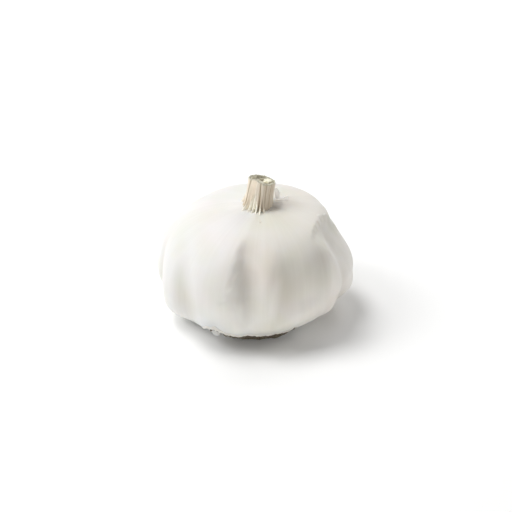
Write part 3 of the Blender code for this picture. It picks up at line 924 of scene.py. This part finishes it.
def make_flakes():
    """The shred and the curl of skin by the neck, and the small flecks on the crown."""
    material = loose_skin_material("loose_skin", *FLAKE_COLOURS)
    shred = strip_shape(SHRED_PATH, SHRED_WIDTHS, SHRED_THICKNESS, SHRED_ACROSS)
    curl = strip_shape(CURL_PATH, CURL_WIDTHS, SHRED_THICKNESS, CURL_ACROSS)
    add_mesh("neck_flake", *join_shapes([shred, curl]), material, "papery_skin")
    shapes = []
    for (x, y, z), length, width in FLECKS:
        outward = np.array([x - NECK_AXIS[0], y - NECK_AXIS[1], 0])
        outward /= np.linalg.norm(outward)
        across = (-outward[1], outward[0], 0)
        path = [(x, y, z + lift) + outward * length * (share - 0.5) for share, lift in FLECK_LIFTS]
        widths = [width * share for share in FLECK_WIDTHS]
        shapes.append(strip_shape(path, widths, FLECK_THICKNESS, across, steps=10))
    add_mesh("skin_flecks", *join_shapes(shapes), material, "papery_skin")


# The hem's thin lip: where it shows, how far it hangs past the skin, and how far up the skin it starts
LIP_SPAN, LIP_FADE = (-34, 30.5), (6, 6)
LIP_COLUMNS, LIP_SHEET_ROWS = 300, 12
LIP_START, LIP_HANG, LIP_FLARE, LIP_THICKNESS = 0.35, 0.3, 0.2, 0.14
LIP_RAGGED = ((31, 0.06, 0.3), (53, 0.06, 1.7), (97, 0.05, 0.2), (149, 0.04, 2.6))
LIP_COLOURS = ((0.95, 0.91, 0.82), (0.88, 0.82, 0.7))
# Bits of old brown skin behind the lip, near black so that they also paint the deep shade under the hem:
# from and to azimuth, and how far they hang below the lip
OLD_BITS = (
    (-26, -16.5, 0.6), (-17.5, -6, 0.75), (-7.5, 5.5, 0.7), (4, 15, 0.5), (13.5, 24, 0.3),
)
OLD_INSET, OLD_UP, OLD_FLARE, OLD_ROWS, OLD_THICKNESS = 0.45, 1.3, 0.1, 9, 0.15
OLD_FADE, OLD_RAGGED = (2, 2), ((43, 0.1, 0), (89, 0.1, 1), (151, 0.07, 2))
OLD_SKIN_AND_SHADE_COLOURS = ((0.1, 0.082, 0.055), (0.04, 0.032, 0.02))
# The old brown skin that reaches down to the floor at the front, dark so that it also paints the contact
# shade there, and radius and height at its edges
SKIRT_SPAN, SKIRT_FADE = (-22.5, 30), (5, 11)
SKIRT_RADIUS, SKIRT_Z = (25.2, 22.3), (4.2, 0.3)
SKIRT_COLUMNS, SKIRT_ROWS = 180, 9
SKIRT_RAGGED = ((23, 0.07, 0), (47, 0.05, 1), (89, 0.04, 2))
SKIRT_CRUMPLE, SKIRT_CRUMPLE_WAVES = 0.12, ((31, 1, 0.5), (53, 0.7, 2))
SKIRT_SKIN_AND_SHADE_COLOURS = ((0.16, 0.13, 0.085), (0.08, 0.065, 0.04))
# The scrap that hangs from the inner skin at the front left; its near-white colour paints in light that it
# lacks in the shade under the hem
SCRAP_PATH = (
    (-11.6, -22.6, 6.3), (-11.6, -22.9, 5.6), (-11.5, -23.4, 4.9), (-11.3, -23.9, 4.3), (-11.1, -24.4, 3.8),
    (-11, -24.9, 3.5),
)
SCRAP_WIDTHS, SCRAP_ACROSS = (0.6, 0.9, 1.8, 2.7, 2.4, 1.2), (1, -0.2, 0.1)
SCRAP_PALE_AND_LIT_COLOURS = ((1, 0.98, 0.92), (0.97, 0.94, 0.86))


def hem_sheet(azimuth, ends, inset, up, hang, flare, rows):
    """A grid that follows the hem: it starts up the skin, lies inset from it, and hangs past its edge."""
    radius = hem_radius(azimuth)
    lowest = -rise_at(radius, LOWER_POWER)
    start = -rise_at(np.minimum(radius + up, BULB_RADIUS - 0.3), LOWER_POWER)
    outward = polar((0, 0), 1, azimuth, 0)
    grid = []
    for share in np.linspace(0, 1, rows):
        past = smooth((share - 0.65) / 0.35)
        points, _ = skin_points(azimuth, start + (lowest - start) * min(share / 0.9, 1))
        points = points + outward * (flare * past * ends + 0.05 * share - inset)[:, None]
        points[:, 2] -= hang * ends * past
        grid.append(points)
    return np.array(grid)[::-1]


def make_hem():
    """The outer skin's thin ragged lip at the front and, behind and below it, old brown skin dark enough to
    paint the shade under the hem, and a scrap.
    """
    azimuth = np.linspace(*LIP_SPAN, LIP_COLUMNS)
    ends = band(azimuth, *LIP_SPAN, *LIP_FADE)
    hang = LIP_HANG + waves(azimuth, LIP_RAGGED)
    grid = hem_sheet(azimuth, ends, 0, LIP_START, hang, LIP_FLARE, LIP_SHEET_ROWS)
    shape = sheet_shape(grid, LIP_THICKNESS)
    add_mesh("hem_lip", *shape, loose_skin_material("hem_skin", *LIP_COLOURS), "papery_skin")
    shapes = []
    for start, end, hang in OLD_BITS:
        azimuth = np.linspace(start, end, max(24, int(6 * (end - start))))
        ends = band(azimuth, start, end, *OLD_FADE)
        ragged = LIP_HANG + hang + waves(azimuth, OLD_RAGGED)
        grid = hem_sheet(azimuth, ends, OLD_INSET, OLD_UP, ragged, OLD_FLARE, OLD_ROWS)
        shapes.append(sheet_shape(grid, OLD_THICKNESS))
    # Old skin made near black, which paints the shade under the hem
    add_mesh("old_skin_and_shade", *join_shapes(shapes), loose_skin_material("old_skin_and_shade", *OLD_SKIN_AND_SHADE_COLOURS), "papery_skin")
    make_skirt()
    shape = strip_shape(SCRAP_PATH, SCRAP_WIDTHS, LIP_THICKNESS, SCRAP_ACROSS, curl=0.08)
    # The scrap's near-white colour is partly painted light
    add_mesh("hem_scrap", *shape, loose_skin_material("scrap_skin", *SCRAP_PALE_AND_LIT_COLOURS), "papery_skin")


def make_skirt():
    """The strip of old brown skin under the front, which narrows towards its ends, dark enough to paint the
    shade under the bulb.
    """
    azimuth = np.linspace(*SKIRT_SPAN, SKIRT_COLUMNS)
    ends = band(azimuth, *SKIRT_SPAN, *SKIRT_FADE)
    grid = []
    for share in np.linspace(0, 1, SKIRT_ROWS):
        drawn_in = share**0.8 * (0.3 + 0.7 * ends)
        radius = SKIRT_RADIUS[0] + (SKIRT_RADIUS[1] - SKIRT_RADIUS[0]) * drawn_in
        z = SKIRT_Z[0] + (SKIRT_Z[1] - SKIRT_Z[0]) * share * (0.25 + 0.75 * ends)
        crumple = SKIRT_CRUMPLE * waves(azimuth + 9 * share, SKIRT_CRUMPLE_WAVES)
        radius = radius + (crumple + waves(azimuth, SKIRT_RAGGED)) * share
        grid.append(polar((0, 0), radius, azimuth, z))
    shape = sheet_shape(np.array(grid)[::-1], OLD_THICKNESS)
    # The skirt's dark colour paints the contact shade under the front
    add_mesh("old_skirt_and_shade", *shape, loose_skin_material("skirt_skin_and_painted_shade", *SKIRT_SKIN_AND_SHADE_COLOURS), "papery_skin")


# The root plate

PLATE_PROFILE = ((5.9, 0), (6.7, 0.2), (7.6, 0.8), (8.6, 1.7), (8.9, 2.6), (8.7, 3.4))
PLATE_COLUMNS = 120
PLATE_RAGGED = ((9, 0.12, 0), (21, 0.1, 1), (37, 0.06, 2))
# Rings on the flat that it stands on, and how far they dimple up
SOLE_RINGS, SOLE_DIMPLE = (1.5, 3, 4.5), 0.06
ROOTS = 170
ROOT_SIDES, ROOT_RINGS = 7, 6
ROOT_START_Z, ROOT_LENGTH, ROOT_THICKNESS = (0.6, 2.4), (1.8, 4), (0.34, 0.62)
ROOT_DROOP, ROOT_TURN = (0.1, 0.5), (-14, 14)
ROOT_LOWEST_Z = 0.12
ROOT_BROWN, ROOT_TAN, ROOT_STRAW = (0.2, 0.13, 0.07), (0.46, 0.35, 0.21), (0.6, 0.5, 0.34)


def make_root_plate():
    """The corky root plate and the stubs of its trimmed roots."""
    azimuths = even_azimuths(PLATE_COLUMNS)
    rings = []
    for radius in SOLE_RINGS:
        rings.append(polar(BASE_AXIS, radius, azimuths, SOLE_DIMPLE * math.sin(3 * radius) ** 2))
    for radius, z in PLATE_PROFILE:
        ragged = waves(azimuths, PLATE_RAGGED) * min(1, z)
        rings.append(polar(BASE_AXIS, radius + ragged, azimuths, z))
    shape = closed_shape(rings, (*BASE_AXIS, 0), (*BASE_AXIS, PLATE_PROFILE[-1][1]))
    add_mesh("root_disc", *shape, plate_material(), "root_plate", ("root_plate",))
    rng = random.Random(SEED + 1)
    shapes = []
    for index in range(ROOTS):
        azimuth = 360 * (index + rng.uniform(-0.45, 0.45)) / ROOTS
        shapes.append(root_shape(azimuth, rng))
    add_mesh("root_stubs", *join_shapes(shapes), root_material(), "root_plate")


def plate_material():
    """Dry brown cork with lighter grain."""
    material, tree, shader = new_material("root_plate", 0.85, Specular_IOR_Level=0.2)
    place = object_place(tree)
    cork = noise(tree, place, 700, 5, 0.65)
    colour = tone(tree, cork, 0.35, 0.65, ROOT_BROWN, ROOT_TAN)
    blotches = scaled(tree, noise(tree, place, 220, 2), 0.5, 0.7, 0, 0.5)
    dress(tree, shader, mix(tree, blotches, colour, ROOT_BROWN), [(cork, 0.7, 0.3)])
    return material


def root_material():
    """Dry root stubs: brown and tan, with bands of straw."""
    material, tree, shader = new_material("root_stubs", 0.8, Specular_IOR_Level=0.2)
    streaks = noise(tree, object_place(tree), 1100, 4, 0.6)
    bands = noise(tree, streak_vector(tree, BASE_AXIS, 30, 400), 1, 2)
    colour = tone(tree, streaks, 0.35, 0.65, ROOT_BROWN, ROOT_TAN)
    colour = tone(tree, bands, 0.5, 0.7, colour, ROOT_STRAW, 0.5)
    dress(tree, shader, colour, [(streaks, 0.5, 0.12)])
    return material


def root_shape(azimuth, rng):
    """One root stub: a bent tapered tube that starts in the plate's side and points out and down."""
    radii, heights = zip(*PLATE_PROFILE)
    start_z = rng.uniform(*ROOT_START_Z)
    start_radius = np.interp(start_z, heights, radii) - 0.5
    thickness = rng.uniform(*ROOT_THICKNESS)
    length = rng.uniform(*ROOT_LENGTH)
    droop = rng.uniform(*ROOT_DROOP)
    turn = rng.uniform(*ROOT_TURN)
    side = np.array([math.cos(math.radians(azimuth)), math.sin(math.radians(azimuth)), 0])
    up = np.array([0, 0, 1])
    around = (np.arange(ROOT_SIDES) * 2 * math.pi / ROOT_SIDES)[:, None]
    rings = []
    for share in np.linspace(0, 1, ROOT_RINGS):
        half = thickness / 2 * (1 - 0.35 * share)
        z = max(start_z - droop * length * share**1.5, ROOT_LOWEST_Z + half)
        centre = polar(BASE_AXIS, start_radius + length * share, azimuth + turn * share**2, z)
        rings.append(centre + half * (np.cos(around) * side + np.sin(around) * up))
    return closed_shape(rings, rings[0].mean(axis=0), rings[-1].mean(axis=0))


# Stage, light and camera

CAMERA_LENS, CAMERA_ELEVATION, CAMERA_DISTANCE = 85, 30, 0.3754
CAMERA_AIM = (0.0006, 0, 0.0164)
# Soft round lights, as azimuth, elevation and power
LIGHTS = (
    ("key", -120, 68, 3.8),
    ("side", -90, 45, 2.99),
    ("back_right", 150, 45, 1.36),
    ("back_left", -150, 45, 1.02),
    ("front", 30, 10, 1.01),
)
LIGHT_SIZE, LIGHT_DISTANCE, LIGHT_AIM = 0.42, 0.9, (0, 0, 0.02)
# The even fill is brighter near the horizon
FILL_LOW, FILL_HIGH, FILL_COLOUR = 0.89, 0, (1, 1, 1)
FLOOR_HALF = 2.5
FLOOR_COLOUR, FLOOR_SHADE = (0.95, 0.95, 0.945), 0.985


def direction(azimuth, elevation):
    """The unit vector towards that azimuth and elevation."""
    turn, lift = math.radians(azimuth), math.radians(elevation)
    return Vector((math.sin(turn) * math.cos(lift), -math.cos(turn) * math.cos(lift), math.sin(lift)))


def aim(thing, place, target):
    """Puts a light or a camera at a place and turns it towards the target."""
    thing.location = place
    thing.rotation_euler = (Vector(target) - Vector(place)).to_track_quat("-Z", "Y").to_euler()


def make_floor():
    """The pale floor."""
    mesh = bpy.data.meshes.new("floor")
    corners = [(x * FLOOR_HALF, y * FLOOR_HALF, 0) for x, y in ((-1, -1), (1, -1), (1, 1), (-1, 1))]
    mesh.from_pydata(corners, [], [(0, 1, 2, 3)])
    material, tree, shader = new_material("floor", 0.9, Specular_IOR_Level=0.1)
    shade = scaled(tree, noise(tree, object_place(tree), 3, 2), 0.3, 0.7)
    shaded = tuple(FLOOR_SHADE * channel for channel in FLOOR_COLOUR)
    dress(tree, shader, mix(tree, shade, FLOOR_COLOUR, shaded))
    mesh.materials.append(material)
    floor = new_object("floor", mesh)


def make_lights():
    """The soft lights and the even fill."""
    for name, azimuth, elevation, power in LIGHTS:
        data = bpy.data.lights.new(name, "AREA")
        data.shape = "DISK"
        data.size = LIGHT_SIZE
        data.energy = power
        aim(new_object(name, data), direction(azimuth, elevation) * LIGHT_DISTANCE, LIGHT_AIM)
    world = bpy.data.worlds.new("studio")
    world.use_nodes = True
    tree = world.node_tree
    sky = add_node(tree, "ShaderNodeTexCoord").outputs["Generated"]
    height = add_node(tree, "ShaderNodeSeparateXYZ", {0: sky}).outputs["Z"]
    strength = scaled(tree, height, 0, 1, FILL_LOW, FILL_HIGH)
    tree.links.new(strength, tree.nodes["Background"].inputs["Strength"])
    tree.nodes["Background"].inputs["Color"].default_value = (*FILL_COLOUR, 1)
    bpy.context.scene.world = world


def make_camera():
    """The camera, with plain colours."""
    scene = bpy.context.scene
    camera_data = bpy.data.cameras.new("camera")
    camera_data.lens = CAMERA_LENS
    camera_data.sensor_width = 36
    camera_data.clip_start = 0.01
    camera = new_object("camera", camera_data)
    aim(camera, Vector(CAMERA_AIM) + direction(0, CAMERA_ELEVATION) * CAMERA_DISTANCE, CAMERA_AIM)
    scene.camera = camera
    scene.view_settings.view_transform = "Standard"


make_skin()
make_neck()
make_rolls()
make_core()
make_flakes()
make_hem()
make_root_plate()
make_floor()
make_lights()
make_camera()
